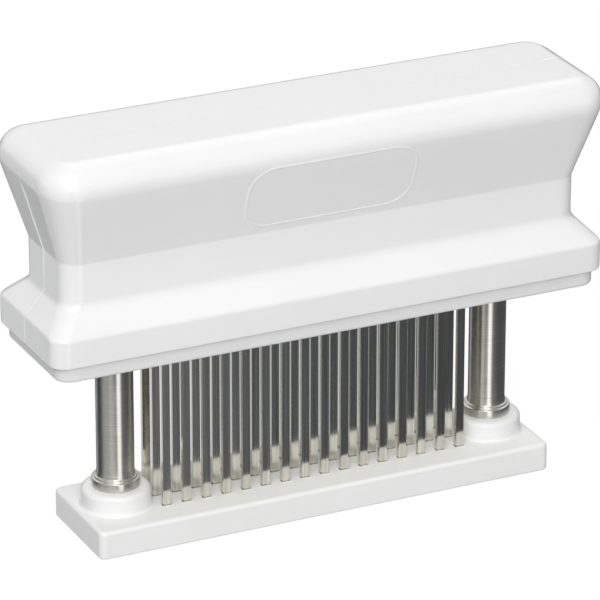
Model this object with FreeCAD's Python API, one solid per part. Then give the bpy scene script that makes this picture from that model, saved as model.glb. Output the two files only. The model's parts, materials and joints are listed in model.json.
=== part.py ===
import FreeCAD, Part
import math
import os

# Blade meat tenderizer: a sprung head with three rows of blades slides down two
# steel columns, and the blades pass through slots in a foot plate.
# Millimetres. +Z is up, +X is along the handle, and -Y is the front.
# The origin is the centre of the foot plate's underside.

Vector = FreeCAD.Vector

# Foot plate
foot_end_margin = 10.25
foot_width = 29.2
foot_thickness = 7.2
foot_corner_radius = 1.8
foot_top_edge_radius = 1.0
foot_bottom_edge_radius = 0.5
boss_diameter = 17.0
boss_height = 5.1
boss_edge_radius = 1.4
boss_foot_fillet = 0.8

# Columns, their collars and the parts that hold them down
column_from_handle_end = 22.75
column_diameter = 9.2
column_wall = 0.7
column_seat_z = 5.5
column_above_ring = 1.7
collar_diameter = 11.7
collar_height = 2.3
collar_step_width = 0.5
collar_step_height = 0.6
collar_neck_wall = 0.15
collar_neck_height = 1.2
plug_height = 6.0
plug_bore_diameter = 3.0
column_screw_shank_diameter = 2.9
column_screw_head_diameter = 6.0
column_screw_head_height = 2.2
column_screw_length = 8.0
screw_recess_depth = 0.4
washer_diameter = 7.0
washer_thickness = 0.5
counterbore_clearance = 0.4
stop_ring_outer_diameter = 11.6
stop_ring_thickness = 1.0
stop_ring_groove_depth = 0.3

# Blades and the pieces that hold them
blades_per_row = 16
column_to_first_blade = 10.63
blade_width = 2.0
blade_thickness = 1.1
blade_tip_z = 2.0
blade_tip_rise = 1.6
blade_head_width = 3.4
blade_head_height = 2.5
blade_slot_clearance = 0.25
block_end_margin = 2.7
block_side_margin = 2.9
block_side_clearance = 0.73
block_height = 17.8
retainer_thickness = 1.5

# Height of the open space under the head, and the cover plate that closes the head
open_height = 41.8
cover_inset_end = 1.7
cover_inset_side = 1.05
cover_corner_radius = 4.0
cover_plate_thickness = 3.7
cover_edge_radius = 0.8
cover_seam = 0.3
cover_lip_height = 3.5
cover_lip_wall = 2.0
bush_diameter = 11.6
bush_height = 11.0
bush_flange_diameter = 13.6
bush_flange_thickness = 1.2
bush_boss_wall = 1.3
cover_screw_from_end = 11.0
cover_screw_from_side = 8.75
cover_screw_shank_diameter = 2.4
cover_screw_head_diameter = 5.0
cover_screw_head_height = 1.6
cover_screw_length = 12.0
cover_screw_boss_diameter = 6.0
cover_screw_boss_rise = 4.0
cover_screw_bite = 0.3

# Handle outline: sizes at the rim, then the heights of its bands from the rim up
handle_length = 146.0
handle_width = 36.5
rim_height = 7.2
rim_slope_height = 5.6
neck_height = 10.7
flare_height = 23.0
crown_height = 3.25
# How far each level stands in or out from the rim, on the long sides and at the ends
neck_inset_side = 5.57
neck_inset_end = 5.19
flare_out_side = 2.98
flare_out_end = 1.72
crown_run = 6.9
# Rounding of the outline's corners, seen from the side
rim_edge_radius = 1.65
neck_foot_radius = 3.4
neck_head_radius = 1.35
flare_edge_radius = 5.6
crown_edge_radius = 8.4
# Rounding of the corners, seen from above
rim_plan_radius = 4.3
neck_plan_radius = 4.8
crown_plan_radius = 10.9
smallest_plan_radius = 0.5
arc_steps = 6
handle_wall = 2.5
rib_count = 5
rib_spread = 72.0
rib_thickness = 2.0

# Springs and their guides
spring_wire = 0.9
spring_outer_diameter = 7.0
spring_turns = 24
spring_end_bend = 1.0
guide_diameter = 4.4
guide_flange_diameter = 9.6
guide_flange_thickness = 1.5
guide_end_gap = 6.0
pocket_wall = 2.0
pocket_depth = 3.5

# Clearances
static_fit = 0.05
running_fit = 0.06
seat_gap = 0.1
stop_gap = 0.15
landing_gap = 0.3
lip_clearance = 0.15
pocket_clearance = 0.15
notch_clearance = 0.3
cut_margin = 1.0
samples_per_turn = 24
same_height = 1e-4

# Levels and places worked out from the sizes above
column_spacing = handle_length - 2 * column_from_handle_end
foot_length = column_spacing + 2 * foot_end_margin
column_radius = column_diameter / 2
column_bore_radius = column_radius - column_wall
boss_top_z = foot_thickness + boss_height
collar_step_z = boss_top_z + collar_height + collar_step_height
collar_top_z = collar_step_z + collar_neck_height
cover_bottom_z = foot_thickness + open_height
cover_top_z = cover_bottom_z + cover_plate_thickness
rim_bottom_z = cover_top_z + cover_seam
rim_top_z = rim_bottom_z + rim_height
neck_bottom_z = rim_top_z + rim_slope_height
neck_top_z = neck_bottom_z + neck_height
flare_top_z = neck_top_z + flare_height
handle_top_z = flare_top_z + crown_height
roof_z = handle_top_z - handle_wall
bush_top_z = cover_bottom_z + bush_height
bush_seat_z = bush_top_z - bush_flange_thickness
ring_bottom_z = bush_top_z + stop_gap
ring_top_z = ring_bottom_z + stop_ring_thickness
column_top_z = ring_top_z + column_above_ring
block_top_z = cover_top_z + block_height
retainer_top_z = block_top_z + retainer_thickness
blade_top_z = block_top_z - seat_gap
plug_top_z = column_seat_z + plug_height
guide_flange_z = roof_z - static_fit - guide_flange_thickness
travel = cover_bottom_z - collar_top_z - landing_gap
guide_lower_z = plug_top_z + travel + guide_end_gap

neck_inner_width = handle_width - 2 * (neck_inset_side + handle_wall)
block_width = neck_inner_width - 2 * block_side_clearance
row_pitch = block_width / 2 - block_side_margin - blade_thickness / 2
blade_pitch = (column_spacing - 2 * column_to_first_blade) / (blades_per_row - 1)
column_places = {"left": -column_spacing / 2, "right": column_spacing / 2}
row_places = {"front": -row_pitch, "middle": 0.0, "back": row_pitch}
blade_places = [
    blade_pitch * (i - (blades_per_row - 1) / 2)
    for i in range(blades_per_row)
]
half_blade_field = blade_places[-1] + blade_head_width / 2
block_length = 2 * (half_blade_field + block_end_margin)
bush_boss_radius = bush_diameter / 2 + bush_boss_wall


def turned(points, x=0.0, y=0.0):
    """Solid turned about a vertical axis from (radius, height) corners."""
    corners = [Vector(r, 0, z) for r, z in points]
    face = Part.Face(Part.makePolygon(corners + corners[:1]))
    solid = face.revolve(Vector(0, 0, 0), Vector(0, 0, 1), 360)
    solid.translate(Vector(x, y, 0))
    return solid


def ring_solid(inner_radius, outer_radius, low_z, high_z, x=0.0, y=0.0):
    """Plain ring between two radii and two heights."""
    outer = Part.makeCylinder(outer_radius, high_z - low_z, Vector(x, y, low_z))
    inner = Part.makeCylinder(
        inner_radius, high_z - low_z + 2 * cut_margin, Vector(x, y, low_z - cut_margin))
    return outer.cut(inner)


def centred_box(length, width, low_z, high_z, x=0.0, y=0.0):
    """Box centred on (x, y) between two heights."""
    corner = Vector(x - length / 2, y - width / 2, low_z)
    return Part.makeBox(length, width, high_z - low_z, corner)


def rounded_outline(half_length, half_width, radius, z):
    """Closed wire of a rectangle with rounded corners at one height."""
    r = max(min(radius, half_length - static_fit, half_width - static_fit), smallest_plan_radius)
    slant = r * math.sqrt(0.5)
    edges = []
    corner_ways = [(1, 1), (-1, 1), (-1, -1), (1, -1)]
    for sign_x, sign_y in corner_ways:
        centre = Vector(sign_x * (half_length - r), sign_y * (half_width - r), z)
        on_end = centre + Vector(sign_x * r, 0, 0)
        on_side = centre + Vector(0, sign_y * r, 0)
        middle = centre + Vector(sign_x * slant, sign_y * slant, 0)
        start, stop = (on_end, on_side) if sign_x * sign_y > 0 else (on_side, on_end)
        edges.append((start, middle, stop))
    wire_edges = []
    for i, (start, middle, stop) in enumerate(edges):
        wire_edges.append(Part.Arc(start, middle, stop).toShape())
        wire_edges.append(Part.makeLine(stop, edges[(i + 1) % len(edges)][0]))
    return Part.Wire(wire_edges)


def rounded_slab(length, width, radius, low_z, high_z):
    """Upright slab with rounded corners seen from above."""
    wire = rounded_outline(length / 2, width / 2, radius, low_z)
    return Part.Face(wire).extrude(Vector(0, 0, high_z - low_z))


def edges_at(shape, z):
    """Edges of a solid that lie wholly at one height."""
    return [e for e in shape.Edges if all(abs(v.Z - z) < same_height for v in e.Vertexes)]


def blade_slots(low_z, high_z):
    """The openings for all the blades, between two heights."""
    return [
        centred_box(
            blade_width + 2 * blade_slot_clearance,
            blade_thickness + 2 * blade_slot_clearance,
            low_z, high_z, x, y)
        for y in row_places.values()
        for x in blade_places
    ]


# The handle's outline is a pair of profiles, one for the long sides and one for the
# ends. Each is a chain of (offset from the rim, height) corners with a rounding.
def profile_corners(neck_inset, flare_out, inner_edge):
    return [
        (0.0, rim_bottom_z, 0.0),
        (0.0, rim_top_z, rim_edge_radius),
        (-neck_inset, neck_bottom_z, neck_foot_radius),
        (-neck_inset, neck_top_z, neck_head_radius),
        (flare_out, flare_top_z, flare_edge_radius),
        (flare_out - crown_run, handle_top_z, crown_edge_radius),
        (inner_edge, handle_top_z, 0.0),
    ]


def unit(dx, dz):
    length = math.hypot(dx, dz)
    return dx / length, dz / length


def corner_arc(before, corner, after, radius):
    """Points of the arc that rounds one corner of a profile."""
    ax, az = unit(before[0] - corner[0], before[1] - corner[1])
    bx, bz = unit(after[0] - corner[0], after[1] - corner[1])
    half_angle = math.acos(max(-1.0, min(1.0, ax * bx + az * bz))) / 2
    reach = radius / math.tan(half_angle)
    mx, mz = unit(ax + bx, az + bz)
    centre_x = corner[0] + mx * radius / math.sin(half_angle)
    centre_z = corner[1] + mz * radius / math.sin(half_angle)
    start = math.atan2(corner[1] + az * reach - centre_z, corner[0] + ax * reach - centre_x)
    stop = math.atan2(corner[1] + bz * reach - centre_z, corner[0] + bx * reach - centre_x)
    turn = (stop - start + math.pi) % (2 * math.pi) - math.pi
    angles = [start + turn * i / arc_steps for i in range(arc_steps + 1)]
    return [(centre_x + radius * math.cos(a), centre_z + radius * math.sin(a)) for a in angles]


def rounded_profile(corners):
    """Profile points with every corner that has a radius rounded."""
    points = [corners[0][:2]]
    for before, corner, after in zip(corners, corners[1:], corners[2:]):
        points += corner_arc(before, corner, after, corner[2])
    return points


def inset_profile(corners, wall):
    """The same profile, sharp cornered, moved inwards by the wall."""
    lines = []
    for low, high in zip(corners, corners[1:]):
        dx, dz = unit(high[0] - low[0], high[1] - low[1])
        lines.append((low[0] - dz * wall, low[1] + dx * wall, dx, dz))
    points = [(corners[0][0] - wall, corners[0][1] - cut_margin)]
    for (px, pz, ax, az), (qx, qz, bx, bz) in zip(lines, lines[1:]):
        step = ((qx - px) * bz - (qz - pz) * bx) / (ax * bz - az * bx)
        points.append((px + ax * step, pz + az * step))
    return points


def at_height(points, z):
    """First value of a chain of (value, height) points, read off at one height."""
    for (low_value, low_z), (high_value, high_z) in zip(points, points[1:]):
        if low_z <= z <= high_z and high_z > low_z:
            return low_value + (high_value - low_value) * (z - low_z) / (high_z - low_z)
    return points[0][0] if z < points[0][1] else points[-1][0]


def handle_form(side, end, smaller_by):
    """Closed form through rounded outlines at the heights of the side profile."""
    plan_radii = [
        (rim_plan_radius, rim_top_z),
        (neck_plan_radius, neck_bottom_z),
        (neck_plan_radius, neck_top_z),
        (crown_plan_radius, flare_top_z),
    ]
    outlines = [
        rounded_outline(
            handle_length / 2 + at_height(end, z),
            handle_width / 2 + offset,
            at_height(plan_radii, z) - smaller_by, z)
        for offset, z in side
    ]
    return Part.makeLoft(outlines, True, True)


def handle_outer():
    side = profile_corners(neck_inset_side, flare_out_side, -handle_width / 2)
    end = profile_corners(neck_inset_end, flare_out_end, -handle_width / 2)
    return handle_form(rounded_profile(side), rounded_profile(end), 0.0)


def handle_cavity():
    side = profile_corners(neck_inset_side, flare_out_side, -handle_width / 2)
    end = profile_corners(neck_inset_end, flare_out_end, -handle_width / 2)
    return handle_form(
        inset_profile(side, handle_wall), inset_profile(end, handle_wall), handle_wall)


def cover_screw_places():
    x = handle_length / 2 - cover_screw_from_end
    y = handle_width / 2 - cover_screw_from_side
    return [(sign_x * x, sign_y * y) for sign_x in (-1, 1) for sign_y in (-1, 1)]


def handle_shells():
    """Front and back half of the handle, with ribs, spring pockets and screw bosses."""
    outer = handle_outer()
    walls = outer.cut(handle_cavity())
    inner = []
    for i in range(rib_count):
        x = rib_spread * (i / (rib_count - 1) - 0.5)
        inner.append(centred_box(rib_thickness, handle_width, retainer_top_z + seat_gap, roof_z, x))
    pocket_radius = guide_flange_diameter / 2 + pocket_clearance
    for x in column_places.values():
        inner.append(ring_solid(
            pocket_radius, pocket_radius + pocket_wall, roof_z - pocket_depth, roof_z, x))
    for x, y in cover_screw_places():
        inner.append(Part.makeCylinder(
            cover_screw_boss_diameter / 2, neck_bottom_z + cover_screw_boss_rise - rim_bottom_z,
            Vector(x, y, rim_bottom_z)))
    whole = walls.multiFuse([piece.common(outer) for piece in inner])
    pilots = [
        Part.makeCylinder(
            (cover_screw_shank_diameter + static_fit) / 2,
            cover_screw_length + cut_margin, Vector(x, y, cover_bottom_z))
        for x, y in cover_screw_places()
    ]
    whole = whole.cut(Part.makeCompound(pilots)).removeSplitter()
    reach = handle_length + handle_width
    front = Part.makeBox(2 * reach, reach, 2 * reach, Vector(-reach, -reach, -reach))
    back = Part.makeBox(2 * reach, reach, 2 * reach, Vector(-reach, 0, -reach))
    return {"handle_front_shell": whole.common(front), "handle_back_shell": whole.common(back)}


def foot_plate():
    plate = rounded_slab(foot_length, foot_width, foot_corner_radius, 0, foot_thickness)
    plate = plate.makeFillet(foot_top_edge_radius, edges_at(plate, foot_thickness))
    plate = plate.makeFillet(foot_bottom_edge_radius, edges_at(plate, 0))
    for x in column_places.values():
        boss = Part.makeCylinder(boss_diameter / 2, boss_top_z, Vector(x, 0, 0))
        plate = plate.fuse(boss)
    plate = plate.removeSplitter()
    plate = plate.makeFillet(boss_edge_radius, edges_at(plate, boss_top_z))
    rings = [e for e in edges_at(plate, foot_thickness) if e.Length > boss_diameter * math.pi / 2]
    round_rings = [e for e in rings if hasattr(e.Curve, "Radius")]
    plate = plate.makeFillet(boss_foot_fillet, round_rings)
    cuts = blade_slots(-cut_margin, boss_top_z)
    for x in column_places.values():
        cuts.append(Part.makeCylinder(
            column_radius + static_fit, boss_height + foot_thickness, Vector(x, 0, column_seat_z)))
        cuts.append(Part.makeCylinder(
            plug_bore_diameter / 2, column_seat_z + 2 * cut_margin, Vector(x, 0, -cut_margin)))
        cuts.append(Part.makeCylinder(
            washer_diameter / 2 + counterbore_clearance,
            counterbore_depth() + cut_margin, Vector(x, 0, -cut_margin)))
    return plate.cut(Part.makeCompound(cuts))


def counterbore_depth():
    return screw_recess_depth + column_screw_head_height + washer_thickness


def column(x):
    tube = ring_solid(column_bore_radius, column_radius, column_seat_z, column_top_z, x)
    groove = ring_solid(
        column_radius - stop_ring_groove_depth, column_radius + cut_margin,
        ring_bottom_z - static_fit, ring_top_z + static_fit, x)
    return tube.cut(groove)


def collar(x):
    bore = column_radius + static_fit
    outer = collar_diameter / 2
    profile = [
        (bore, boss_top_z),
        (outer, boss_top_z),
        (outer, boss_top_z + collar_height),
        (outer - collar_step_width, collar_step_z),
        (bore + collar_neck_wall, collar_top_z),
        (bore, collar_top_z),
    ]
    return turned(profile, x)


def plug(x):
    return ring_solid(
        plug_bore_diameter / 2, column_bore_radius - static_fit, column_seat_z, plug_top_z, x)


def cross_recess(x, y, low_z, size, depth):
    """Cross-shaped recess in a screw head that faces down."""
    arm = size / 4
    along = centred_box(size, arm, low_z - cut_margin, low_z + depth, x, y)
    across = centred_box(arm, size, low_z - cut_margin, low_z + depth, x, y)
    return along.fuse(across)


def pan_screw(x, y, low_z, head_diameter, head_height, shank_diameter, length):
    """Screw with its head down and a cross recess."""
    head_top_z = low_z + head_height
    head_radius = head_diameter / 2
    edge = head_height / 3
    profile = [
        (0, low_z),
        (head_radius - edge, low_z),
        (head_radius, low_z + edge),
        (head_radius, head_top_z),
        (shank_diameter / 2, head_top_z),
        (shank_diameter / 2, head_top_z + length),
        (0, head_top_z + length),
    ]
    recess = cross_recess(x, y, low_z, head_radius, head_height / 2)
    return turned(profile, x, y).cut(recess)


def column_screw(x):
    return pan_screw(
        x, 0, screw_recess_depth, column_screw_head_diameter, column_screw_head_height,
        column_screw_shank_diameter, column_screw_length)


def column_washer(x):
    low_z = screw_recess_depth + column_screw_head_height
    return ring_solid(
        column_screw_shank_diameter / 2 + static_fit, washer_diameter / 2,
        low_z, low_z + washer_thickness, x)


def stop_ring(x):
    inner = column_radius - stop_ring_groove_depth + static_fit
    return ring_solid(inner, stop_ring_outer_diameter / 2, ring_bottom_z, ring_top_z, x)


def column_bush(x):
    bore = column_radius + running_fit
    profile = [
        (bore, cover_bottom_z),
        (bush_diameter / 2, cover_bottom_z),
        (bush_diameter / 2, bush_seat_z),
        (bush_flange_diameter / 2, bush_seat_z),
        (bush_flange_diameter / 2, bush_top_z),
        (bore, bush_top_z),
    ]
    return turned(profile, x)


def bottom_cover():
    plate = rounded_slab(
        handle_length - 2 * cover_inset_end, handle_width - 2 * cover_inset_side,
        cover_corner_radius, cover_bottom_z, cover_top_z)
    plate = plate.makeFillet(cover_edge_radius, edges_at(plate, cover_bottom_z))
    lip_length = handle_length - 2 * (handle_wall + lip_clearance)
    lip_width = handle_width - 2 * (handle_wall + lip_clearance)
    lip_radius = rim_plan_radius - handle_wall
    lip_top_z = rim_bottom_z + cover_lip_height
    lip = rounded_slab(lip_length, lip_width, lip_radius, cover_top_z, lip_top_z)
    inside = rounded_slab(
        lip_length - 2 * cover_lip_wall, lip_width - 2 * cover_lip_wall,
        lip_radius - cover_lip_wall, cover_top_z, lip_top_z)
    pieces = [lip.cut(inside)]
    cuts = blade_slots(cover_bottom_z - cut_margin, cover_top_z + cut_margin)
    for x in column_places.values():
        pieces.append(Part.makeCylinder(
            bush_boss_radius, bush_seat_z - cover_top_z, Vector(x, 0, cover_top_z)))
        cuts.append(Part.makeCylinder(
            bush_diameter / 2 + static_fit, bush_height + 2 * cut_margin,
            Vector(x, 0, cover_bottom_z - cut_margin)))
    for x, y in cover_screw_places():
        pieces.append(Part.makeCylinder(
            cover_screw_boss_diameter / 2, cover_seam, Vector(x, y, cover_top_z)))
        cuts.append(Part.makeCylinder(
            cover_screw_head_diameter / 2 + static_fit,
            cover_screw_head_height + cover_screw_bite + cut_margin,
            Vector(x, y, cover_bottom_z - cut_margin)))
        cuts.append(Part.makeCylinder(
            cover_screw_shank_diameter / 2 + static_fit,
            cover_plate_thickness + cover_seam + cut_margin, Vector(x, y, cover_bottom_z)))
    return plate.multiFuse(pieces).cut(Part.makeCompound(cuts)).removeSplitter()


def cover_screws():
    low_z = cover_bottom_z + cover_screw_bite
    return Part.makeCompound([
        pan_screw(
            x, y, low_z, cover_screw_head_diameter, cover_screw_head_height,
            cover_screw_shank_diameter, cover_screw_length - cover_screw_head_height)
        for x, y in cover_screw_places()
    ])


def blade(x, y):
    """One blade: chisel tip below, a wider head above, of one thickness."""
    half = blade_width / 2
    head_half = blade_head_width / 2
    head_z = blade_top_z - blade_head_height
    outline = [
        (-half, blade_tip_z),
        (half, blade_tip_z + blade_tip_rise),
        (half, head_z),
        (head_half, head_z),
        (head_half, blade_top_z),
        (-head_half, blade_top_z),
        (-head_half, head_z),
        (-half, head_z),
    ]
    corners = [Vector(x + dx, y - blade_thickness / 2, z) for dx, z in outline]
    face = Part.Face(Part.makePolygon(corners + corners[:1]))
    return face.extrude(Vector(0, blade_thickness, 0))


def blade_row(y):
    return Part.makeCompound([blade(x, y) for x in blade_places])


def blade_block():
    block = centred_box(block_length, block_width, cover_top_z, block_top_z)
    cuts = blade_slots(cover_top_z - cut_margin, block_top_z)
    pocket_z = blade_top_z - blade_head_height - seat_gap
    for y in row_places.values():
        for x in blade_places:
            cuts.append(centred_box(
                blade_head_width + 2 * blade_slot_clearance,
                blade_thickness + 2 * blade_slot_clearance,
                pocket_z, block_top_z + cut_margin, x, y))
    notch_radius = bush_boss_radius + notch_clearance
    for x in column_places.values():
        cuts.append(Part.makeCylinder(notch_radius, block_height, Vector(x, 0, cover_top_z)))
    return block.cut(Part.makeCompound(cuts))


def blade_retainer():
    return centred_box(block_length, block_width, block_top_z, retainer_top_z)


def spring_guide(x):
    rod = guide_diameter / 2
    profile = [
        (0, guide_lower_z),
        (rod, guide_lower_z),
        (rod, guide_flange_z),
        (guide_flange_diameter / 2, guide_flange_z),
        (guide_flange_diameter / 2, guide_flange_z + guide_flange_thickness),
        (0, guide_flange_z + guide_flange_thickness),
    ]
    return turned(profile, x)


def arc_edge(start, corner, stop):
    """Arc that leaves start towards corner and arrives at stop from corner."""
    first = (corner - start).normalize()
    last = (stop - corner).normalize()
    c = math.sqrt(max(0.0, (1 + first.dot(last)) / 2))
    chord_middle = (start + stop) * 0.5
    apex = chord_middle + (corner - chord_middle) * (c / (1 + c))
    return Part.Arc(start, apex, stop).toShape()


def biarc_edges(start, start_way, stop, stop_way):
    """Two arcs that join smoothly between two points with given directions."""
    across = stop - start
    ways = start_way + stop_way
    spread = 2 * (1 - start_way.dot(stop_way))
    lean = across.dot(ways)
    reach = (math.sqrt(lean * lean + spread * across.dot(across)) - lean) / spread
    first_corner = start + start_way * reach
    last_corner = stop - stop_way * reach
    middle = (first_corner + last_corner) * 0.5
    return [arc_edge(start, first_corner, middle), arc_edge(middle, last_corner, stop)]


def return_spring(x):
    """Helical spring from the plug's top to the guide's flange, as one tube."""
    radius = (spring_outer_diameter - spring_wire) / 2
    end_height = spring_wire + spring_end_bend
    low_z = plug_top_z + end_height
    high_z = guide_flange_z - end_height
    steps = 2 * spring_turns
    rise = (high_z - low_z) / steps
    climb = rise / math.pi
    points = []
    ways = []
    for i in range(steps + 1):
        angle = math.pi * i
        points.append(Vector(x + radius * math.cos(angle), radius * math.sin(angle), low_z + rise * i))
        way = Vector(-radius * math.sin(angle), radius * math.cos(angle), climb)
        ways.append(way.normalize())
    up = Vector(0, 0, 1)
    lower_corner = points[0] - ways[0] * spring_end_bend
    lower_knee = lower_corner - up * spring_end_bend
    upper_corner = points[-1] + ways[-1] * spring_end_bend
    upper_knee = upper_corner + up * spring_end_bend
    foot_point = Vector(lower_knee.x, lower_knee.y, plug_top_z)
    head_point = Vector(upper_knee.x, upper_knee.y, guide_flange_z)
    edges = [Part.makeLine(foot_point, lower_knee), arc_edge(lower_knee, lower_corner, points[0])]
    for i in range(steps):
        edges += biarc_edges(points[i], ways[i], points[i + 1], ways[i + 1])
    edges += [arc_edge(points[-1], upper_corner, upper_knee), Part.makeLine(upper_knee, head_point)]
    path = Part.Wire(edges)
    section = Part.Wire([Part.makeCircle(spring_wire / 2, foot_point, up)])
    solid = path.makePipeShell([section], True, False)
    report_spring(path, solid, 2 * rise)
    return solid


def report_spring(path, solid, pitch):
    """Print the spring's volume against its wire, and its least gap to itself."""
    points = path.discretize(spring_turns * samples_per_turn)
    apart = samples_per_turn // 2
    gap = min(
        points[i].distanceToPoint(points[j])
        for i in range(len(points))
        for j in range(i + apart, min(i + 3 * apart, len(points)))
    ) - spring_wire
    wire_volume = path.Length * math.pi * (spring_wire / 2) ** 2
    print(f"spring volume {solid.Volume:.1f} of {wire_volume:.1f}, pitch {pitch:.2f}, least gap {gap:.2f}")


def build():
    nodes = {"foot_plate": foot_plate()}
    for side, x in column_places.items():
        nodes[f"column_{side}"] = column(x)
        nodes[f"column_collar_{side}"] = collar(x)
        nodes[f"column_plug_{side}"] = plug(x)
        nodes[f"column_washer_{side}"] = column_washer(x)
        nodes[f"column_screw_{side}"] = column_screw(x)
        nodes[f"stop_ring_{side}"] = stop_ring(x)
        nodes[f"column_bush_{side}"] = column_bush(x)
        nodes[f"spring_guide_{side}"] = spring_guide(x)
        nodes[f"return_spring_{side}"] = return_spring(x)
    nodes.update(handle_shells())
    nodes["bottom_cover"] = bottom_cover()
    nodes["cover_screws"] = cover_screws()
    nodes["blade_block"] = blade_block()
    nodes["blade_retainer"] = blade_retainer()
    for name, y in row_places.items():
        nodes[f"blade_row_{name}"] = blade_row(y)
    return nodes


os.makedirs("parts", exist_ok=True)
for name, shape in build().items():
    shape.exportStep(f"parts/{name}.step")
    box = shape.BoundBox
    print(f"{name}: {len(shape.Solids)} solid, volume {shape.Volume:.0f}, valid {shape.isValid()},"
          f" z {box.ZMin:.2f} to {box.ZMax:.2f}")
print(f"travel {travel:.2f}")
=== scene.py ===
# %% [markdown]
# # A blade meat tenderizer
# A white plastic handle rides on two steel columns over a white foot plate. Pressed
# down, it drives three rows of thin steel blades through slots in the foot. This script
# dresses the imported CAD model: the solids that already have the right form get a finish,
# the handle, collars and springs are made again as finer surfaces, and the raised border
# of the badge is added.

# %% Load the fixed frame
import json
import math

import bmesh
import bpy
import numpy as np
from mathutils import Matrix, Vector

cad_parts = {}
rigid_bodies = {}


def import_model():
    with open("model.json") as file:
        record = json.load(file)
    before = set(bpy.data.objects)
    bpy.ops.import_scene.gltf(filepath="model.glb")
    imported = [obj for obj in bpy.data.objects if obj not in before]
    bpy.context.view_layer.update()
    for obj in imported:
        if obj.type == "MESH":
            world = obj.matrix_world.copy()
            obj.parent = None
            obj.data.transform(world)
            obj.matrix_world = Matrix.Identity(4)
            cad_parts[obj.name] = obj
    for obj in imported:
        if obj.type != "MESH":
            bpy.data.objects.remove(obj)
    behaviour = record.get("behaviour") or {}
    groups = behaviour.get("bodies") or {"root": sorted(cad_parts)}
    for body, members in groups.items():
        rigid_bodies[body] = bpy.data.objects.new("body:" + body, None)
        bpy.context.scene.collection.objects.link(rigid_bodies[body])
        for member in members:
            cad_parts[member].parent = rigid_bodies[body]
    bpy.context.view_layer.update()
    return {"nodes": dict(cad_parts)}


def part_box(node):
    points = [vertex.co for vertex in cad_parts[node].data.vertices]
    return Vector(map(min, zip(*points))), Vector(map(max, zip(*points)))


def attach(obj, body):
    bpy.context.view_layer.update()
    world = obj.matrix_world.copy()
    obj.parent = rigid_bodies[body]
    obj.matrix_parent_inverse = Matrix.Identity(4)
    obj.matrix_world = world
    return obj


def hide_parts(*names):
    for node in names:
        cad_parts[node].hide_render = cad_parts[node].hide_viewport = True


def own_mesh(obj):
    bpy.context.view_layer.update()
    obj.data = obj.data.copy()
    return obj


for leftover in list(bpy.data.objects):
    bpy.data.objects.remove(leftover)
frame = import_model()
nodes = frame["nodes"]
MM = 0.001


def middle_x(node):
    """Place of a CAD node's middle along the handle, rounded to a hundredth of a millimetre."""
    low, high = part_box(node)
    return round((low.x + high.x) / 2, 5)


# %% [markdown]
# ## Camera
# The photograph was taken from the left front and a little above, with a long lens that
# hardly narrows the far end. A camera could be aimed by eye with a track constraint. Here
# it is built from its heading, pitch and distance, so that it stays where it is put.

# %% Camera
CAMERA_HEADING = math.radians(25.46)
CAMERA_PITCH = math.radians(23.16)
CAMERA_ROLL = math.radians(0.064)
CAMERA_DISTANCE = 1189.4 * MM
CAMERA_AIM_SIDE = -0.97 * MM
CAMERA_AIM_HEIGHT = 51.18 * MM
CAMERA_LENS = 294.8


def make_camera():
    """A camera at a distance behind its aim point, looking along heading and pitch."""
    ahead = Vector((
        math.sin(CAMERA_HEADING) * math.cos(CAMERA_PITCH),
        math.cos(CAMERA_HEADING) * math.cos(CAMERA_PITCH),
        -math.sin(CAMERA_PITCH)))
    right = Vector((math.cos(CAMERA_HEADING), -math.sin(CAMERA_HEADING), 0))
    up = right.cross(ahead)
    aim = right * CAMERA_AIM_SIDE + Vector((0, 0, CAMERA_AIM_HEIGHT))
    turned_right = right * math.cos(CAMERA_ROLL) + up * math.sin(CAMERA_ROLL)
    turned_up = up * math.cos(CAMERA_ROLL) - right * math.sin(CAMERA_ROLL)
    data = bpy.data.cameras.new("camera")
    data.lens = CAMERA_LENS
    camera = bpy.data.objects.new("camera", data)
    place = Matrix((turned_right, turned_up, -ahead)).transposed().to_4x4()
    place.translation = aim - ahead * CAMERA_DISTANCE
    camera.matrix_world = place
    bpy.context.scene.collection.objects.link(camera)
    bpy.context.scene.camera = camera
    return camera


camera = make_camera()
print("camera at", np.round(camera.matrix_world.translation, 3).tolist())

# %% [markdown]
# ## Node helpers
# Each finish is a small network of nodes. Two helpers keep the recipes short: one adds a
# node and sets its fields, and the other starts a material with a Principled shader.

# %% Node helpers
NOISE_LOW = 0.3
NOISE_HIGH = 0.7


def add_node(tree, kind, inputs=(), **fields):
    """One node of a kind, with its input values and fields set."""
    node = tree.nodes.new(kind)
    for name, value in fields.items():
        setattr(node, name, value)
    for name, value in dict(inputs).items():
        node.inputs[name].default_value = value
    return node


def start_material(name, inputs):
    """A material with one Principled shader, whose plain numbers sit on its own sockets."""
    material = bpy.data.materials.new(name)
    material.use_nodes = True
    shader = material.node_tree.nodes["Principled BSDF"]
    for socket, value in inputs.items():
        shader.inputs[socket].default_value = value
    return material, material.node_tree, shader


def object_noise(tree, scale, stretch=(1, 1, 1), detail=3.0):
    """Noise that reads Object coordinates, stretched along the axes."""
    place = add_node(tree, "ShaderNodeTexCoord")
    mapping = add_node(tree, "ShaderNodeMapping", {"Scale": stretch})
    noise = add_node(tree, "ShaderNodeTexNoise", {"Scale": scale, "Detail": detail})
    tree.links.new(place.outputs["Object"], mapping.inputs["Vector"])
    tree.links.new(mapping.outputs["Vector"], noise.inputs["Vector"])
    return noise.outputs["Fac"]


def spread(tree, value, low, high):
    """The range where noise mostly lies, spread to a range of its own."""
    node = add_node(tree, "ShaderNodeMapRange", {
        "From Min": NOISE_LOW, "From Max": NOISE_HIGH, "To Min": low, "To Max": high})
    tree.links.new(value, node.inputs["Value"])
    return node.outputs["Result"]


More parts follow.
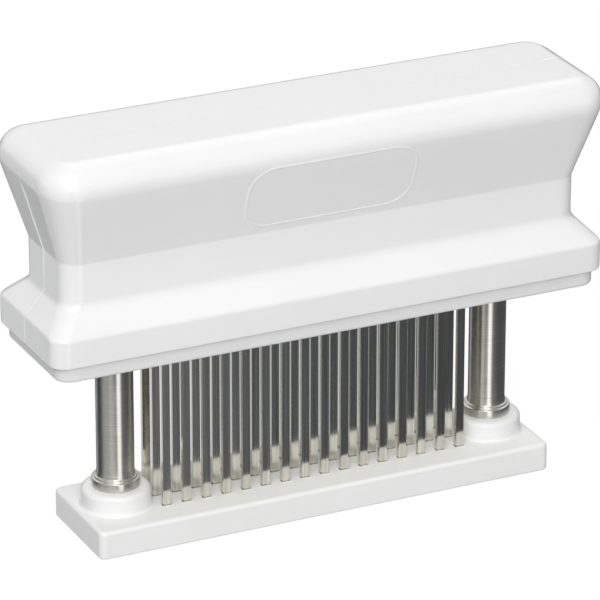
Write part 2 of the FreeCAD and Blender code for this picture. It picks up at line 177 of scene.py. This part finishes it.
def tint(tree, value, dark, pale):
    """A colour that runs from dark to pale as noise rises through its usual range."""
    ramp = add_node(tree, "ShaderNodeValToRGB")
    ramp.color_ramp.elements[0].position = NOISE_LOW
    ramp.color_ramp.elements[0].color = (*dark, 1)
    ramp.color_ramp.elements[1].position = NOISE_HIGH
    ramp.color_ramp.elements[1].color = (*pale, 1)
    tree.links.new(value, ramp.inputs["Fac"])
    return ramp.outputs["Color"]


def bump(tree, shader, height, strength, distance):
    """Fine relief from a height value, in metres at full strength."""
    node = add_node(tree, "ShaderNodeBump", {"Strength": strength, "Distance": distance})
    tree.links.new(height, node.inputs["Height"])
    tree.links.new(node.outputs["Normal"], shader.inputs["Normal"])
    return node


# %% [markdown]
# ## White plastics
# The handle is glossy moulded plastic: nearly even in colour, with a faint ripple from the mould that
# bends its highlights. The foot and the bottom cover are a little duller, and the foot shows a finer
# grain. The cover's greyer colour is painted shade, for its place low under the handle. Each finish
# keeps its roughness within a narrow range.

# %% White plastics
CLOUD_SCALE = 45
GRAIN_SCALE = 700
RIPPLE_STRENGTH = 0.25
RIPPLE_DEPTH = 0.02 * MM


def white_plastic(name, dark, pale, dull, ripple):
    """Moulded plastic: colour clouds from dark to pale, gloss varies, and relief ripples.

    Dull is the range of roughness, and ripple the scale of the noise in the relief.
    """
    material, tree, shader = start_material(name, {
        "Metallic": 0.0, "IOR": 1.49, "Specular IOR Level": 0.5})
    clouds = object_noise(tree, CLOUD_SCALE)
    tree.links.new(tint(tree, clouds, dark, pale), shader.inputs["Base Color"])
    grain = object_noise(tree, GRAIN_SCALE, detail=4)
    tree.links.new(spread(tree, grain, *dull), shader.inputs["Roughness"])
    bump(tree, shader, object_noise(tree, ripple), RIPPLE_STRENGTH, RIPPLE_DEPTH)
    return material


HANDLE_WHITE = white_plastic(
    "handle_white", dark=(0.865, 0.866, 0.862), pale=(0.885, 0.886, 0.884),
    dull=(0.18, 0.26), ripple=260)
BASE_WHITE = white_plastic(
    "base_white", dark=(0.9, 0.902, 0.894), pale=(0.92, 0.921, 0.917),
    dull=(0.28, 0.42), ripple=800)
# The cover's greyer colour is painted shade, for its place low under the handle.
COVER_WHITE_PAINTED_SHADE = white_plastic(
    "cover_white_painted_shade", dark=(0.8, 0.8, 0.806), pale=(0.812, 0.812, 0.818),
    dull=(0.28, 0.34), ripple=260)
BLOCK_WHITE = white_plastic(
    "block_white", dark=(0.76, 0.76, 0.73), pale=(0.8, 0.8, 0.77),
    dull=(0.45, 0.6), ripple=600)
print("white plastics ready")

# %% [markdown]
# ## Steels
# The blades are bright rolled strip, with fine lines along their length. The columns are
# turned tube: the tool leaves rings round them, which draw a highlight out into an upright
# band. That stretch is set as anisotropy, and the rings themselves are fine relief.

# %% Steels
QUARTER_TURN = 0.25
ALONG_BLADE = (2200, 2200, 25)
ROUND_COLUMN = (90, 90, 9000)
ALL_WAYS = (900, 900, 900)


def steel(name, dark, pale, dull, lines, relief, stretch_highlight=0.0):
    """Bare steel: noise stretched into fine lines varies its colour, dullness and relief.

    Lines is the noise's scale along each axis, and relief its strength and its depth.
    """
    material, tree, shader = start_material(name, {
        "Metallic": 1.0, "Anisotropic": stretch_highlight})
    streaks = object_noise(tree, 1.0, lines, detail=5)
    tree.links.new(tint(tree, streaks, dark, pale), shader.inputs["Base Color"])
    tree.links.new(spread(tree, streaks, *dull), shader.inputs["Roughness"])
    bump(tree, shader, streaks, *relief)
    if stretch_highlight:
        shader.inputs["Anisotropic Rotation"].default_value = QUARTER_TURN
        tangent = add_node(tree, "ShaderNodeTangent", direction_type="RADIAL", axis="Z")
        tree.links.new(tangent.outputs["Tangent"], shader.inputs["Tangent"])
    return material


BLADE_STEEL = steel(
    "blade_steel", dark=(0.58, 0.565, 0.5), pale=(0.84, 0.825, 0.74), dull=(0.08, 0.16),
    lines=ALONG_BLADE, relief=(0.08, 0.01 * MM))
COLUMN_STEEL = steel(
    "column_steel", dark=(0.52, 0.52, 0.48), pale=(0.69, 0.68, 0.63), dull=(0.285, 0.32),
    lines=ROUND_COLUMN, relief=(0.05, 0.01 * MM), stretch_highlight=0.9)
PLATE_STEEL = steel(
    "plate_steel", dark=(0.5, 0.5, 0.49), pale=(0.6, 0.6, 0.59), dull=(0.29, 0.4),
    lines=ALL_WAYS, relief=(0.1, 0.01 * MM))
SCREW_STEEL = steel(
    "screw_steel", dark=(0.5, 0.5, 0.5), pale=(0.64, 0.64, 0.64), dull=(0.17, 0.26),
    lines=ALL_WAYS, relief=(0.15, 0.02 * MM))
SPRING_STEEL = steel(
    "spring_steel", dark=(0.36, 0.36, 0.37), pale=(0.5, 0.5, 0.5), dull=(0.17, 0.26),
    lines=ALL_WAYS, relief=(0.1, 0.01 * MM))
print("steels ready")

# %% [markdown]
# ## Surfaces from grids
# Every new piece is a grid of points worked out as whole arrays. One helper turns such a
# grid into a mesh of four-sided faces, and another merges points that fall together at its
# poles and turns its faces outwards.

# %% Grid to mesh
MERGE_DISTANCE = 0.002 * MM


def unit(vectors):
    """Each row divided by its length."""
    return vectors / np.linalg.norm(vectors, axis=-1, keepdims=True)


def plain_grid(name, points, material, closed_rows=False, closed_columns=False):
    """Mesh over a (rows, columns, 3) grid: each point joins its neighbours by index."""
    rows, columns = points.shape[:2]
    index = np.arange(rows * columns).reshape(rows, columns)
    if closed_rows:
        index = np.vstack([index, index[:1]])
    if closed_columns:
        index = np.hstack([index, index[:, :1]])
    faces = np.stack(
        [index[:-1, :-1], index[:-1, 1:], index[1:, 1:], index[1:, :-1]], -1).reshape(-1, 4)
    mesh = bpy.data.meshes.new(name)
    mesh.from_pydata(points.reshape(-1, 3), [], faces)
    piece = bpy.data.objects.new(name, mesh)
    bpy.context.scene.collection.objects.link(piece)
    mesh.materials.append(material)
    return piece


def grid_piece(name, points, material, **closed):
    """The same grid with its poles and seams closed and its faces turned outwards."""
    piece = plain_grid(name, points, material, **closed)
    tidy_mesh(piece.data)
    return piece


def tidy_mesh(mesh):
    """Merges points that coincide, turns faces outwards and shades them smooth."""
    work = bmesh.new()
    work.from_mesh(mesh)
    bmesh.ops.remove_doubles(work, verts=work.verts, dist=MERGE_DISTANCE)
    bmesh.ops.dissolve_degenerate(work, edges=work.edges, dist=MERGE_DISTANCE)
    bmesh.ops.recalc_face_normals(work, faces=work.faces)
    work.to_mesh(mesh)
    work.free()
    mesh.shade_smooth()


# %% [markdown]
# ## Handle outline
# Seen from the side, the handle has a square rim, a slope up to a narrow neck, and a flare
# that leans out to a rounded crown. The same chain of corners, with other offsets, serves
# its long sides and its ends. Each corner is rounded by an arc tangent to both its lines.

# %% Handle profiles
HANDLE_HALF_LENGTH = 73.0 * MM
HANDLE_HALF_WIDTH = 18.25 * MM
RIM_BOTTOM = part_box("handle_front_shell")[0].z
CROWN_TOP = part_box("handle_front_shell")[1].z
RIM_TOP = RIM_BOTTOM + 7.2 * MM
NECK_BOTTOM = RIM_TOP + 5.6 * MM
NECK_TOP = NECK_BOTTOM + 10.7 * MM
FLARE_TOP = NECK_TOP + 23.0 * MM
NECK_INSET = {"side": 5.57 * MM, "end": 5.19 * MM}
FLARE_OUT = {"side": 2.98 * MM, "end": 1.65 * MM}
CROWN_RUN = {"side": 6.9 * MM, "end": 5.9 * MM}
RIM_FOOT_RADIUS = 0.35 * MM
CORNER_RADII = {
    "side": (1.65 * MM, 3.4 * MM, 1.35 * MM, 5.6 * MM, 8.4 * MM),
    "end": (1.65 * MM, 3.4 * MM, 1.35 * MM, 5.5 * MM, 4.5 * MM)}
ARC_POINTS = 14
STRAIGHT_POINTS = 7


def handle_profile(where):
    """(offset, height) points up one profile: corners rounded, straights divided evenly."""
    corners = np.array([
        (-RIM_FOOT_RADIUS * 2, RIM_BOTTOM),
        (0, RIM_BOTTOM),
        (0, RIM_TOP),
        (-NECK_INSET[where], NECK_BOTTOM),
        (-NECK_INSET[where], NECK_TOP),
        (FLARE_OUT[where], FLARE_TOP),
        (FLARE_OUT[where] - CROWN_RUN[where], CROWN_TOP),
        (-HANDLE_HALF_WIDTH, CROWN_TOP)])
    radii = np.array([RIM_FOOT_RADIUS, *CORNER_RADII[where]])
    back = unit(corners[:-2] - corners[1:-1])
    ahead = unit(corners[2:] - corners[1:-1])
    half = np.arccos((back * ahead).sum(1)) / 2
    centres = corners[1:-1] + unit(back + ahead) * (radii / np.sin(half))[:, None]
    starts = corners[1:-1] + back * (radii / np.tan(half))[:, None] - centres
    stops = corners[1:-1] + ahead * (radii / np.tan(half))[:, None] - centres
    angle = (math.pi - 2 * half)[:, None, None]
    part = np.linspace(0, 1, ARC_POINTS)[None, :, None]
    arcs = centres[:, None] + (
        starts[:, None] * np.sin((1 - part) * angle) + stops[:, None] * np.sin(part * angle)
    ) / np.sin(angle)
    step = np.linspace(0, 1, STRAIGHT_POINTS)[None, 1:-1, None]
    straights = arcs[:-1, -1:] * (1 - step) + arcs[1:, :1] * step
    joined = np.concatenate([arcs[:-1], straights], 1).reshape(-1, 2)
    return np.concatenate([joined, arcs[-1]])


SIDE_PROFILE = handle_profile("side")
END_PROFILE = handle_profile("end")
print("profile points", len(SIDE_PROFILE), "widest", round(SIDE_PROFILE[:, 0].max() / MM, 2), "mm out")

# %% [markdown]
# ## Handle halves
# The handle comes from its mould in a front and a back half, which meet in a fine line
# round the ends and over the top. A half is one grid: its rows climb the profile and then
# cross the flat top, and its columns go round from one end to the other. The halves never
# meet quite flush. The front one sits a hair further right than the back one, so the back
# one's edge shows as a thin bright line on the left end, as it does on the real handle.

# %% Plan corners
RIM_PLAN_RADIUS = 4.3 * MM
NECK_PLAN_RADIUS = 4.8 * MM
TOP_PLAN_RADIUS = 2.0 * MM


def corner_axes(length, width, height):
    """Corner of the plan at each row, as the two half axes of an ellipse.

    Over the crown the ellipse keeps its centre while the outline shrinks. Down the flare
    it blends evenly to the neck's round corner, and down the slope to the rim's.
    """
    widest = int(np.argmax(width))
    across = length - (length[-1] - TOP_PLAN_RADIUS)
    deep = width - (width[-1] - TOP_PLAN_RADIUS)
    low = np.interp(height, [RIM_TOP, NECK_BOTTOM], [RIM_PLAN_RADIUS, NECK_PLAN_RADIUS])
    rise = np.clip((height - NECK_TOP) / (height[widest] - NECK_TOP), 0, 1)
    below = np.arange(len(height)) < widest
    across = np.where(below, low + rise * (across[widest] - low), across)
    deep = np.where(below, low + rise * (deep[widest] - low), deep)
    return across, deep


# %% Handle halves
SEAM_DEPTH = 0.1 * MM
# Place along the handle in millimetres, and share of the seam's depth there
SEAM_SHARES = np.array([(-80, 0.1), (36, 0.1), (50, 1), (80, 1)])
SEAM_ROUNDING = 0.08 * MM
SEAM_STEPS = np.array([0, 0.2, 0.4, 0.6, 0.8, 1.0])
SEAM_GAP = 0.01 * MM
TOP_DRAW_IN = 0.06
END_SHIFT = {-1: 0.12 * MM, 1: -0.08 * MM}
SHIFT_FULL_TO = FLARE_TOP - 7 * MM
SHIFT_NONE_FROM = FLARE_TOP - 5 * MM
SHIFT_HEIGHTS = (RIM_TOP - 1 * MM, RIM_TOP, NECK_BOTTOM, NECK_TOP, SHIFT_FULL_TO, SHIFT_NONE_FROM)
SHIFT_SHARES = (0.5, 0.1, 0.35, 1, 1, 0.02)
HANDLE_WALL = 1.5 * MM
SIDE_COLUMNS = 60
CORNER_COLUMNS = 20
END_COLUMNS = 8
TOP_FADE = np.array([
    0.85, 0.7, 0.56, 0.44, 0.34, 0.26, 0.19, 0.14, 0.1, 0.07, 0.05, 0.035, 0.025, 0.016,
    0.008, 0])


def handle_half(name, side_sign):
    """Grid over one half: rounded rectangles stacked up the profile, closed by the flat top.

    A column on the end runs from the seam to the corner, then round the corner by its
    angle, and then along the side. Its height blends from the end's profile to the side's
    by the share of the corner that it has turned through. On the top, each point of the
    last ring goes straight to its own place on the seam. At last the half moves along the
    handle by its shift, in a share that depends on the height.
    """
    corner = np.linspace(0, 1, CORNER_COLUMNS)
    straight = np.linspace(0, 1, END_COLUMNS + 2)[1:-1]
    side = np.linspace(0, 1, SIDE_COLUMNS + 2)[None, 1:-1]
    length = HANDLE_HALF_LENGTH + END_PROFILE[:, 0]
    width = HANDLE_HALF_WIDTH + SIDE_PROFILE[:, 0]
    across, deep = corner_axes(length, width, SIDE_PROFILE[:, 1])
    length, width, across, deep = (v[:, None] for v in (length, width, across, deep))
    seam = np.repeat(SEAM_STEPS[None, :] * SEAM_ROUNDING, len(length), 0)
    plain = SEAM_ROUNDING + (width - deep - SEAM_ROUNDING) * straight[None, :]
    angle = corner[None, :] * math.pi / 2
    end_y = np.hstack([seam, plain, width - deep + deep * np.sin(angle)])
    end_x = np.hstack([
        np.repeat(length, seam.shape[1] + plain.shape[1], 1),
        length - across + across * np.cos(angle)])
    x = np.hstack([end_x, (length - across) * (1 - 2 * side), -end_x[:, ::-1]])
    y = np.hstack([end_y, np.repeat(width, side.shape[1], 1), end_y[:, ::-1]])
    seam_share = np.zeros(seam.shape[1] + plain.shape[1])
    share = np.concatenate([seam_share, corner, np.ones(side.shape[1]), corner[::-1], seam_share])
    z = END_PROFILE[:, 1:] * (1 - share) + SIDE_PROFILE[:, 1:] * share
    body = np.stack([x, y, z], -1)
    goal = np.stack([x[-1] * (1 - TOP_DRAW_IN), 0 * y[-1], z[-1]], -1)
    top = goal + (body[-1] - goal) * TOP_FADE[:, None, None]
    points = sink_seam(np.concatenate([body, top]))
    shift_share = np.interp(points[:, :1, 2], SHIFT_HEIGHTS, SHIFT_SHARES)
    points[..., 0] += END_SHIFT[side_sign] * shift_share
    points[..., 1] = (points[..., 1] + SEAM_GAP) * side_sign
    piece = grid_piece(name, points, HANDLE_WHITE)
    wall = piece.modifiers.new("wall", "SOLIDIFY")
    wall.thickness = HANDLE_WALL
    wall.offset = -1
    wall.use_even_offset = False
    return piece


def sink_seam(points):
    """Sinks points near the seam along the end profile's normal, by depth times (1 - cos)."""
    out = np.gradient(END_PROFILE[:, 1])
    rise = -np.gradient(END_PROFILE[:, 0])
    normal = unit(np.stack([out, rise], 1))
    top = np.repeat([[0.0, 1.0]], len(TOP_FADE), 0)
    normal = np.vstack([normal, top])[:, None]
    close = np.clip(1 - points[..., 1] / SEAM_ROUNDING, 0, 1)
    depth = SEAM_DEPTH * np.interp(points[..., 0] / MM, *SEAM_SHARES.T)
    sunk = depth * (1 - np.cos(close * math.pi / 2))
    points[..., 0] -= normal[..., 0] * np.sign(points[..., 0]) * sunk
    points[..., 2] -= normal[..., 1] * sunk
    return points


handle_front = handle_half("handle_front_half", -1)
handle_back = handle_half("handle_back_half", 1)
for piece, node in ((handle_front, "handle_front_shell"), (handle_back, "handle_back_shell")):
    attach(piece, "head")
    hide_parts(node)
print("handle half points", len(handle_front.data.vertices))

# %% [markdown]
# ## Badge outline
# The front of the flare carries a raised border, 44 mm wide, round the place of a badge. It
# could be a curve with a bevel, but its section isn't round: the inner wall is steep and
# the outer side falls gently. So that section is carried round a rounded rectangle, which
# is bent onto the flare by its distance up the profile. The place inside stays bare.

# %% Badge outline
BADGE_MIDDLE = (-0.65 * MM, 11.1 * MM)
BADGE_HALF_SIZE = (21.9 * MM, 8.8 * MM)
BADGE_CORNER = 6.5 * MM
# Distance outwards from the outline, and height above the flare
BORDER_SECTION = np.array([
    (-0.22, -0.1), (-0.22, 0.0), (-0.08, 0.1), (-0.02, 0.125), (0.06, 0.13), (0.16, 0.12),
    (0.35, 0.07), (0.62, 0.0), (0.72, -0.1)]) * MM


def rounded_outline(half_size, corner, per_corner=20, per_side=24):
    """Points and outward directions round a rectangle: four arcs joined by even steps."""
    angle = np.linspace(0, math.pi / 2, per_corner) + np.arange(4)[:, None] * math.pi / 2
    outward = np.stack([np.cos(angle), np.sin(angle)], -1)
    signs = np.sign(outward[:, per_corner // 2, None])
    arcs = (np.array(half_size) - corner) * signs + corner * outward
    step = np.linspace(0, 1, per_side + 2)[None, 1:-1, None]
    sides = arcs[:, -1:] * (1 - step) + np.roll(arcs[:, :1], -1, 0) * step
    points = np.concatenate([arcs, sides], 1)
    outward = np.concatenate([outward, np.repeat(outward[:, -1:], per_side, 1)], 1)
    return points.reshape(-1, 2), outward.reshape(-1, 2)


def on_flare(across, up, lift):
    """Place on the front face, found by its distance up the profile from the neck's top."""
    steps = np.linalg.norm(np.diff(SIDE_PROFILE, axis=0), axis=1)
    run = np.concatenate([[0], np.cumsum(steps)])
    way = unit(np.gradient(SIDE_PROFILE, run, axis=0))
    at = up + np.interp(NECK_TOP, SIDE_PROFILE[:, 1], run)
    offset, height, way_out, way_up = (
        np.interp(at, run, values) for values in (*SIDE_PROFILE.T, *way.T))
    out = HANDLE_HALF_WIDTH + offset + way_up * lift
    return np.stack([across, -out, height - way_out * lift], -1)


def badge_border():
    """The section carried round the outline: outline + outward s, lifted by h."""
    outline, outward = rounded_outline(BADGE_HALF_SIZE, BADGE_CORNER)
    flat = outline[:, None] + outward[:, None] * BORDER_SECTION[None, :, :1]
    flat += np.array(BADGE_MIDDLE)
    lift = np.repeat(BORDER_SECTION[None, :, 1], len(flat), 0)
    points = on_flare(flat[..., 0], flat[..., 1], lift)
    piece = grid_piece("badge_border", points, HANDLE_WHITE, closed_rows=True, closed_columns=True)
    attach(piece, "head")
    return piece


border = badge_border()
print("badge border points", len(border.data.vertices))

# %% [markdown]
# ## Finishes for the solids that stay
# The foot, cover, blades, columns, screws and inner pieces already have their true form in
# the CAD model, so they only need a finish. It could be given node by node. Here a table
# names a material for the start of each name, so that left and right pieces share a line.

# %% Finishes for CAD nodes
FINISHES = {
    "foot_plate": BASE_WHITE,
    "bottom_cover": COVER_WHITE_PAINTED_SHADE,
    "blade_block": BLOCK_WHITE,
    "column_bush": BLOCK_WHITE,
    "blade_row": BLADE_STEEL,
    "blade_retainer": PLATE_STEEL,
    "spring_guide": PLATE_STEEL,
    "column_plug": PLATE_STEEL,
    "column_screw": SCREW_STEEL,
    "column_washer": SCREW_STEEL,
    "cover_screws": SCREW_STEEL,
    "stop_ring": SCREW_STEEL,
    "column_collar": COLUMN_STEEL,
    "column_left": COLUMN_STEEL,
    "column_right": COLUMN_STEEL,
    "return_spring": SPRING_STEEL,
    "handle": HANDLE_WHITE,
}


def finish_nodes():
    """Gives each node the finish whose key its name starts with."""
    for name, node in nodes.items():
        material = next(m for key, m in FINISHES.items() if name.startswith(key))
        node.data.materials.clear()
        node.data.materials.append(material)


finish_nodes()
print("finished", len(nodes), "nodes")

# %% [markdown]
# ## Collars
# Each column stands in a turned collar: a ring, a lip on top of it, and a short flare where
# the tube widens. The CAD solid has these steps, but its shading runs softly across them.
# Here the profile is spun again round the column with a narrow rounding at every edge. The
# flare has run out below the lowest place that the sliding bush reaches.

# %% Collars
COLLAR_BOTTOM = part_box("column_collar_left")[0].z
# Radius and height above the boss
COLLAR_STEPS = np.array([
    (4.5, 0.0), (5.82, 0.0), (5.87, 0.05), (5.88, 0.12), (5.88, 2.1), (5.87, 2.18),
    (5.82, 2.25), (5.74, 2.28), (5.32, 2.3), (5.28, 2.32), (5.26, 2.37), (5.26, 2.64),
    (5.24, 2.72), (5.18, 2.77), (5.1, 2.79), (4.84, 2.8), (4.79, 2.83), (4.76, 2.9),
    (4.72, 3.3), (4.68, 3.65), (4.64, 4.0), (4.61, 4.3), (4.595, 4.6), (4.585, 4.9),
    (4.5, 5.0)]) * MM
COLLAR_SIDES = 96


def collar(name, node):
    """The steps spun round the upright axis: (r cos turn, r sin turn, height)."""
    turn = np.linspace(0, 2 * math.pi, COLLAR_SIDES, endpoint=False)[None, :]
    radius = COLLAR_STEPS[:, :1]
    height = COLLAR_BOTTOM + COLLAR_STEPS[:, 1:] + 0 * turn
    points = np.stack(
        [middle_x(node) + radius * np.cos(turn), radius * np.sin(turn), height], -1)
    piece = grid_piece(name, points, COLUMN_STEEL, closed_rows=True, closed_columns=True)
    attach(piece, "foot")
    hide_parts(node)
    return piece


for side_name in ("left", "right"):
    ring = collar(f"collar_{side_name}", f"column_collar_{side_name}")
    print(ring.name, "points", len(ring.data.vertices))

# %% [markdown]
# ## Springs
# A return spring stands inside each column and shortens as the handle goes down. A solid from the CAD
# model can't shorten, so each spring is made again as a tube along a helix.

# %% Springs
SPRING_TURNS = 24
SPRING_WIRE = 0.9 * MM
SPRING_HELIX_RADIUS = 3.05 * MM
POINTS_PER_TURN = 20
WIRE_SIDES = 8


def helix_spring(name, node):
    """Tube along a helix: the ring of the wire stands square to the way the helix climbs."""
    low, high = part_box(node)
    centre_x = middle_x(node)
    bottom = low.z + SPRING_WIRE / 2
    top = high.z - SPRING_WIRE / 2
    angle = np.linspace(0, 2 * math.pi * SPRING_TURNS, SPRING_TURNS * POINTS_PER_TURN + 1)
    out = np.stack([np.cos(angle), np.sin(angle), 0 * angle], -1)
    centre = out * SPRING_HELIX_RADIUS
    centre[:, 0] += centre_x
    centre[:, 2] = np.linspace(bottom, top, len(angle))
    climb = (top - bottom) / (2 * math.pi * SPRING_TURNS)
    way = unit(np.stack(
        [-SPRING_HELIX_RADIUS * np.sin(angle), SPRING_HELIX_RADIUS * np.cos(angle),
         np.full_like(angle, climb)], -1))
    side = np.cross(way, out)
    round_wire = np.linspace(0, 2 * math.pi, WIRE_SIDES, endpoint=False)[None, :, None]
    ring = out[:, None] * np.cos(round_wire) + side[:, None] * np.sin(round_wire)
    points = centre[:, None] + ring * SPRING_WIRE / 2
    first = np.repeat(centre[:1, None], WIRE_SIDES, 1)
    last = np.repeat(centre[-1:, None], WIRE_SIDES, 1)
    points = np.concatenate([first, points, last])
    piece = grid_piece(name, points, SPRING_STEEL, closed_columns=True)
    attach(piece, "foot")
    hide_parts(node)
    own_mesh(piece)
    return piece


for side_name in ("left", "right"):
    spring = helix_spring(f"spring_{side_name}", f"return_spring_{side_name}")
    print(spring.name, "points", len(spring.data.vertices))

# %% [markdown]
# ## Floor
# The photograph shows the tool on plain white. A white floor would need lamps so strong
# that the white handle lost its shading. So the camera sees floor and sky as plain white,
# and shiny surfaces see the sky so too, while all other light meets a greyer floor. Part of
# what the camera sees of the floor still comes from lamps, so a soft shadow stays under
# the foot.

# %% Floor
FLOOR_HALF = 3.0
FLOOR_DROP = 0.05 * MM
FLOOR_BOUNCE = 0.59
FLOOR_GLOW = 1.03
SHADOW_SHARE = 0.1


def seen_directly(tree):
    """1 for camera, glossy and transmission rays, and 0 for all others."""
    path = add_node(tree, "ShaderNodeLightPath")
    first = add_node(tree, "ShaderNodeMath", operation="MAXIMUM")
    second = add_node(tree, "ShaderNodeMath", operation="MAXIMUM")
    tree.links.new(path.outputs["Is Camera Ray"], first.inputs[0])
    tree.links.new(path.outputs["Is Glossy Ray"], first.inputs[1])
    tree.links.new(first.outputs[0], second.inputs[0])
    tree.links.new(path.outputs["Is Transmission Ray"], second.inputs[1])
    return second.outputs[0]


def bare_material(name):
    """A material with nothing but its output node."""
    material = bpy.data.materials.new(name)
    material.use_nodes = True
    tree = material.node_tree
    tree.nodes.clear()
    return material, tree, add_node(tree, "ShaderNodeOutputMaterial")


def make_floor():
    """A flat square of 3 by 3 points, a hair under the foot so that no two faces share a plane."""
    side = np.linspace(-FLOOR_HALF, FLOOR_HALF, 3)
    x, y = np.meshgrid(side, side)
    points = np.stack([x, y, np.full_like(x, -FLOOR_DROP)], -1)
    material, tree, out = bare_material("floor_white")
    real = add_node(tree, "ShaderNodeBsdfDiffuse", {"Color": (FLOOR_BOUNCE,) * 3 + (1,)})
    lit = add_node(tree, "ShaderNodeBsdfDiffuse", {"Color": (1, 1, 1, 1)})
    glow = add_node(tree, "ShaderNodeEmission", {"Strength": FLOOR_GLOW})
    shown = add_node(tree, "ShaderNodeMixShader", {"Fac": SHADOW_SHARE})
    choose = add_node(tree, "ShaderNodeMixShader")
    tree.links.new(glow.outputs[0], shown.inputs[1])
    tree.links.new(lit.outputs[0], shown.inputs[2])
    tree.links.new(seen_directly(tree), choose.inputs["Fac"])
    tree.links.new(real.outputs[0], choose.inputs[1])
    tree.links.new(shown.outputs[0], choose.inputs[2])
    tree.links.new(choose.outputs[0], out.inputs["Surface"])
    piece = grid_piece("floor", points, material)
    return piece


floor = make_floor()
print("floor", FLOOR_HALF * 2, "m wide")

# %% [markdown]
# ## Screen for the steel
# Polished steel has no colour of its own to show: it shows the room. In the photograph the
# blades mirror a dark room on their faces and a light strip on their narrow sides, and the
# columns mirror a bright strip in front and a dimmer one on the left. A photographer gets
# this with cards set round the tool. Here they are one low bowl that only reflections can
# see, so it dims neither the light nor the view, and the sky over its edge still shines
# white in the plastic. The floor is hidden from reflections, because the bowl reaches down
# through it and stands in for it.

# %% Screen
SCREEN_RADIUS = 0.5
SCREEN_RISE = (-84, 13)
SCREEN_ROWS = 30
SCREEN_COLUMNS = 721
COOL_TINT = (0.92, 0.97, 1.1)
# Heading in degrees from the front to the left, glow, and share of the cool tint
SCREEN_LEVELS = np.array([
    (-180, 0.1, 1), (-110, 0.1, 1), (-80, 0.07, 1), (-60, 0.05, 1), (-42, 0.05, 1),
    (-31, 0.085, 1), (-25, 0.102, 1), (-21, 0.15, 0.8), (-17, 0.17, 0.5), (-9, 0.3, 0),
    (-7.5, 1.55, 0), (13.5, 1.55, 0), (15, 0.06, 0), (28, 0.06, 0), (36, 0.3, 0),
    (45, 0.58, 0), (53, 0.64, 0), (60, 0.48, 0), (78, 0.46, 0), (92, 0.46, 0),
    (98, 0.3, 0), (108, 0.12, 1), (120, 0.04, 1), (135, 0.04, 1),
    (147, 0.05, 1), (148.5, 0.75, 0.5), (159, 0.75, 0.5), (161, 0.07, 1), (180, 0.1, 1)])


def reflect_only(piece):
    """Hides a stage piece from everything but reflections."""
    for ray in ("camera", "diffuse", "transmission", "volume_scatter", "shadow"):
        setattr(piece, f"visible_{ray}", False)


def make_screen():
    """Zone of a sphere round the tool. Its glow runs straight from one level to the next."""
    heading = np.linspace(-180, 180, SCREEN_COLUMNS)
    rise = np.radians(np.linspace(*SCREEN_RISE, SCREEN_ROWS))[:, None]
    turn = np.radians(heading)[None, :]
    x = -np.sin(turn) * np.cos(rise) * SCREEN_RADIUS
    y = -np.cos(turn) * np.cos(rise) * SCREEN_RADIUS
    points = np.stack([x, y, SCREEN_RADIUS * np.sin(rise) + 0 * x], -1)
    level = np.interp(heading, *SCREEN_LEVELS.T[:2])[None, :, None]
    cool = np.interp(heading, *SCREEN_LEVELS.T[::2])[None, :, None]
    colour = level * (1 + (np.array(COOL_TINT) - 1) * cool)
    colour = np.repeat(colour, len(rise), 0)
    material, tree, out = bare_material("screen_glow")
    stored = add_node(tree, "ShaderNodeAttribute", attribute_name="glow")
    glow = add_node(tree, "ShaderNodeEmission")
    tree.links.new(stored.outputs["Color"], glow.inputs["Color"])
    tree.links.new(glow.outputs[0], out.inputs["Surface"])
    piece = plain_grid("screen", points, material)
    values = np.concatenate([colour.reshape(-1, 3), np.ones((colour.size // 3, 1))], 1)
    layer = piece.data.attributes.new("glow", "FLOAT_COLOR", "POINT")
    layer.data.foreach_set("color", values.ravel())
    reflect_only(piece)
    return piece


screen = make_screen()
floor.visible_glossy = False
print("screen points", len(screen.data.vertices))

# %% [markdown]
# ## Light
# Soft light comes from the whole sky, and four large softboxes add shape. The strongest
# stands a little left of the front and a weaker one further left. A third hangs over the
# tool, and the last lights its back.

# %% Sky and lamps
SKY_STRENGTH = 0.4
LAMP_DISTANCE = 1.6
LAMP_AIM = Vector((0, 0, 60 * MM))
# Heading in degrees from the front to the left, rise in degrees, side in metres, and watts
SOFTBOXES = {
    "key": (20, 28, 0.7, 10.2),
    "fill": (50, 50, 0.9, 6.6),
    "top": (0, 85, 0.9, 2.0),
    "back": (-150, 50, 0.9, 3.4)}


def make_sky():
    """White sky at full strength for the eye and for mirrors, dimmer for all other light."""
    world = bpy.data.worlds.new("sky")
    bpy.context.scene.world = world
    world.use_nodes = True
    tree = world.node_tree
    tree.nodes.clear()
    out = add_node(tree, "ShaderNodeOutputWorld")
    white = add_node(tree, "ShaderNodeBackground", {"Color": (1, 1, 1, 1), "Strength": 1.0})
    soft = add_node(tree, "ShaderNodeBackground", {"Color": (1, 1, 1, 1), "Strength": SKY_STRENGTH})
    choose = add_node(tree, "ShaderNodeMixShader")
    tree.links.new(seen_directly(tree), choose.inputs["Fac"])
    tree.links.new(soft.outputs[0], choose.inputs[1])
    tree.links.new(white.outputs[0], choose.inputs[2])
    tree.links.new(choose.outputs[0], out.inputs["Surface"])


def softbox(name, heading, rise, size, power):
    """Square lamp on a sphere round the tool: (-sin h cos r, -cos h cos r, sin r)."""
    heading = math.radians(heading)
    rise = math.radians(rise)
    out = Vector((
        -math.sin(heading) * math.cos(rise),
        -math.cos(heading) * math.cos(rise),
        math.sin(rise)))
    data = bpy.data.lights.new(name, "AREA")
    data.shape = "SQUARE"
    data.size = size
    data.energy = power
    lamp = bpy.data.objects.new(name, data)
    lamp.location = LAMP_AIM + out * LAMP_DISTANCE
    lamp.rotation_euler = (-out).to_track_quat("-Z", "Y").to_euler()
    bpy.context.scene.collection.objects.link(lamp)
    return lamp


make_sky()
for lamp_name, values in SOFTBOXES.items():
    softbox(lamp_name, *values)
bpy.context.scene.view_settings.view_transform = "Standard"
print("sky", SKY_STRENGTH, "and", len(SOFTBOXES), "softboxes")
